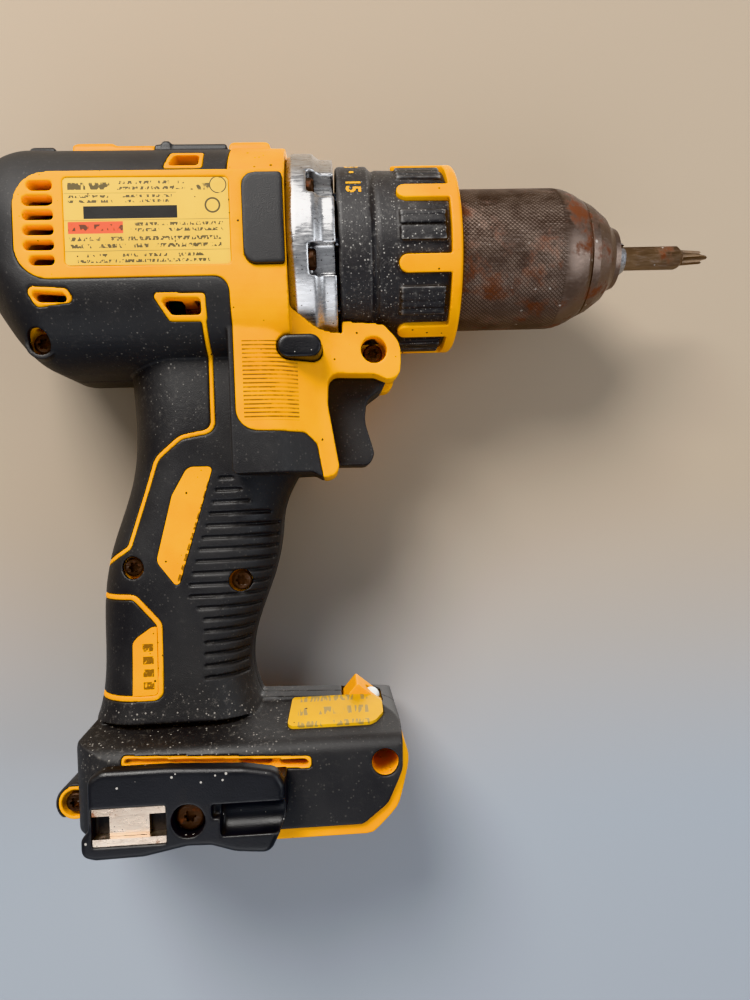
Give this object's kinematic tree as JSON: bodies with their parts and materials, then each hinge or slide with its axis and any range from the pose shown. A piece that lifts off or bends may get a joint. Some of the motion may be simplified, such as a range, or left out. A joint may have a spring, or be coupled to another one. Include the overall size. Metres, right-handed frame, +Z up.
{
  "type": "cordless drill driver",
  "caption": "Cordless drill driver with a keyless chuck, clutch collar, planetary gearbox, brushless motor, trigger, bit clip and battery rails.",
  "frame": {"origin": "on the spindle axis, in the plane of the chuck's mouth", "axes": "+X forward along the spindle, +Y towards the tool's left side, +Z up, the handle hangs towards -Z"},
  "size_m": [0.2228, 0.0743, 0.2001],
  "materials": {
    "yellow_shell": "moulded, worn",
    "black_rubber": "soft, dusty",
    "black_plastic": "moulded, satin",
    "data_plate": "printed film, worn",
    "gear_case_metal": "die cast, satin",
    "chuck_metal": "knurled, rusted",
    "jaw_metal": "worn steel",
    "bit_metal": "rusted steel",
    "screw_metal": "rusted steel",
    "gear_steel": "hardened steel",
    "spring_steel": "spring steel",
    "motor_steel": "laminated",
    "copper": "enamelled wire",
    "lamp_clear": "clear",
    "clip_metal": "plated, worn",
    "board": "circuit board"
  },
  "bodies": {
    "root": {"housing_right": "yellow_shell", "housing_left": "yellow_shell", "grip_right": "black_rubber", "grip_left": "black_rubber", "bumper_pads": "black_rubber", "gear_case": "gear_case_metal", "lamp_hood": "yellow_shell", "terminal_block": "black_plastic", "bit_clip": "black_plastic", "stator_core": "motor_steel", "stator_windings": "copper", "stator_end_rings": "board", "motor_plate": "gear_case_metal", "ball_bearings": "gear_steel", "switch_body": "black_plastic", "control_module": "board", "inner_leads": "black_rubber", "ring_gears_fixed": "gear_steel", "clutch_plate": "gear_steel", "clutch_pins": "gear_steel", "clutch_spring": "spring_steel", "trigger_spring": "spring_steel", "gear_case_screws": "screw_metal", "body_screws": "screw_metal", "terminal_blades": "clip_metal", "lamp_lens": "lamp_clear", "bit_clip_magnets": "clip_metal", "name_plates": "data_plate", "grip_badges": "yellow_shell", "foot_plate": "data_plate"},
    "output": {"spindle": "jaw_metal", "chuck_body": "chuck_metal", "chuck_screw": "screw_metal"},
    "sleeve": {"chuck_sleeve": "chuck_metal", "chuck_nut": "jaw_metal"},
    "jaw_a": {"jaw_1": "jaw_metal"},
    "jaw_b": {"jaw_2": "jaw_metal"},
    "jaw_c": {"jaw_3": "jaw_metal"},
    "bit": {"driver_bit": "bit_metal"},
    "collar": {"clutch_collar": "black_plastic", "clutch_collar_ring": "yellow_shell"},
    "clutch_nut": {"clutch_nut": "gear_steel"},
    "trigger": {"trigger": "black_rubber"},
    "direction_button": {"direction_button": "black_plastic"},
    "speed_selector": {"speed_selector": "yellow_shell", "ring_gear_shift": "gear_steel"},
    "carrier_2": {"carrier_2": "gear_steel"},
    "carrier_1": {"carrier_1": "gear_steel"},
    "rotor": {"motor_shaft": "gear_steel", "rotor_core": "motor_steel", "motor_fan": "black_plastic"},
    "planet_3a": {"planet_3a": "gear_steel"},
    "planet_3b": {"planet_3b": "gear_steel"},
    "planet_3c": {"planet_3c": "gear_steel"},
    "planet_2a": {"planet_2a": "gear_steel"},
    "planet_2b": {"planet_2b": "gear_steel"},
    "planet_2c": {"planet_2c": "gear_steel"},
    "planet_1a": {"planet_1a": "gear_steel"},
    "planet_1b": {"planet_1b": "gear_steel"},
    "planet_1c": {"planet_1c": "gear_steel"}
  },
  "joints": [
    {"name": "spindle_spin", "type": "hinge", "parent": "root", "child": "output", "pos_m": [0, 0, 0], "axis": [1, 0, 0], "continuous": true},
    {"name": "carrier_2_spin", "type": "hinge", "parent": "root", "child": "carrier_2", "pos_m": [0, 0, 0], "axis": [1, 0, 0], "continuous": true},
    {"name": "carrier_1_spin", "type": "hinge", "parent": "root", "child": "carrier_1", "pos_m": [0, 0, 0], "axis": [1, 0, 0], "continuous": true},
    {"name": "rotor_spin", "type": "hinge", "parent": "root", "child": "rotor", "pos_m": [0, 0, 0], "axis": [1, 0, 0], "continuous": true},
    {"name": "planet_3a_spin", "type": "hinge", "parent": "output", "child": "planet_3a", "pos_m": [0, 0.012, 0], "axis": [1, 0, 0], "continuous": true},
    {"name": "planet_3b_spin", "type": "hinge", "parent": "output", "child": "planet_3b", "pos_m": [0, -0.006, 0.01039], "axis": [1, 0, 0], "continuous": true},
    {"name": "planet_3c_spin", "type": "hinge", "parent": "output", "child": "planet_3c", "pos_m": [0, -0.006, -0.01039], "axis": [1, 0, 0], "continuous": true},
    {"name": "planet_2a_spin", "type": "hinge", "parent": "carrier_2", "child": "planet_2a", "pos_m": [0, 0.012, 0], "axis": [1, 0, 0], "continuous": true},
    {"name": "planet_2b_spin", "type": "hinge", "parent": "carrier_2", "child": "planet_2b", "pos_m": [0, -0.006, 0.01039], "axis": [1, 0, 0], "continuous": true},
    {"name": "planet_2c_spin", "type": "hinge", "parent": "carrier_2", "child": "planet_2c", "pos_m": [0, -0.006, -0.01039], "axis": [1, 0, 0], "continuous": true},
    {"name": "planet_1a_spin", "type": "hinge", "parent": "carrier_1", "child": "planet_1a", "pos_m": [0, 0.01125, 0], "axis": [1, 0, 0], "continuous": true},
    {"name": "planet_1b_spin", "type": "hinge", "parent": "carrier_1", "child": "planet_1b", "pos_m": [0, -0.00562, 0.00974], "axis": [1, 0, 0], "continuous": true},
    {"name": "planet_1c_spin", "type": "hinge", "parent": "carrier_1", "child": "planet_1c", "pos_m": [0, -0.00562, -0.00974], "axis": [1, 0, 0], "continuous": true},
    {"name": "chuck_sleeve_turn", "type": "hinge", "parent": "output", "child": "sleeve", "pos_m": [0, 0, 0], "axis": [1, 0, 0], "range_deg": [0, 2608]},
    {"name": "jaw_a_slide", "type": "slide", "parent": "output", "child": "jaw_a", "axis": [-0.9613, 0, 0.2756], "range_m": [0, 0.0115]},
    {"name": "jaw_b_slide", "type": "slide", "parent": "output", "child": "jaw_b", "axis": [-0.9613, -0.2387, -0.1378], "range_m": [0, 0.0115]},
    {"name": "jaw_c_slide", "type": "slide", "parent": "output", "child": "jaw_c", "axis": [-0.9613, 0.2387, -0.1378], "range_m": [0, 0.0115]},
    {"name": "bit_pull", "type": "slide", "parent": "output", "child": "bit", "axis": [1, 0, 0], "range_m": [0, 0.06]},
    {"name": "clutch_collar_turn", "type": "hinge", "parent": "root", "child": "collar", "pos_m": [0, 0, 0], "axis": [1, 0, 0], "range_deg": [-128, 192]},
    {"name": "clutch_nut_slide", "type": "slide", "parent": "collar", "child": "clutch_nut", "axis": [1, 0, 0], "range_m": [-0.00256, 0.00384], "deforming": ["clutch_spring"]},
    {"name": "trigger_pull", "type": "slide", "parent": "root", "child": "trigger", "axis": [-1, 0, 0], "range_m": [0, 0.007], "deforming": ["trigger_spring"]},
    {"name": "direction_shift", "type": "slide", "parent": "root", "child": "direction_button", "axis": [0, 1, 0], "range_m": [-0.0025, 0.0025]},
    {"name": "speed_shift", "type": "slide", "parent": "root", "child": "speed_selector", "axis": [1, 0, 0], "range_m": [0, 0.0042]}
  ],
  "couplings": [
    {"joint": "carrier_2_spin", "follows": "spindle_spin", "ratio": 3.3333},
    {"joint": "carrier_1_spin", "follows": "spindle_spin", "ratio": 11.111},
    {"joint": "rotor_spin", "follows": "spindle_spin", "ratio": 44.444},
    {"joint": "planet_3a_spin", "follows": "spindle_spin", "ratio": -3.5},
    {"joint": "planet_3b_spin", "follows": "spindle_spin", "ratio": -3.5},
    {"joint": "planet_3c_spin", "follows": "spindle_spin", "ratio": -3.5},
    {"joint": "planet_2a_spin", "follows": "spindle_spin", "ratio": -11.667},
    {"joint": "planet_2b_spin", "follows": "spindle_spin", "ratio": -11.667},
    {"joint": "planet_2c_spin", "follows": "spindle_spin", "ratio": -11.667},
    {"joint": "planet_1a_spin", "follows": "spindle_spin", "ratio": -33.333},
    {"joint": "planet_1b_spin", "follows": "spindle_spin", "ratio": -33.333},
    {"joint": "planet_1c_spin", "follows": "spindle_spin", "ratio": -33.333},
    {"joint": "jaw_a_slide", "follows": "chuck_sleeve_turn", "m_per_rad": 0.00025266},
    {"joint": "jaw_b_slide", "follows": "chuck_sleeve_turn", "m_per_rad": 0.00025266},
    {"joint": "jaw_c_slide", "follows": "chuck_sleeve_turn", "m_per_rad": 0.00025266},
    {"joint": "clutch_nut_slide", "follows": "clutch_collar_turn", "m_per_rad": 0.0011459}
  ]
}
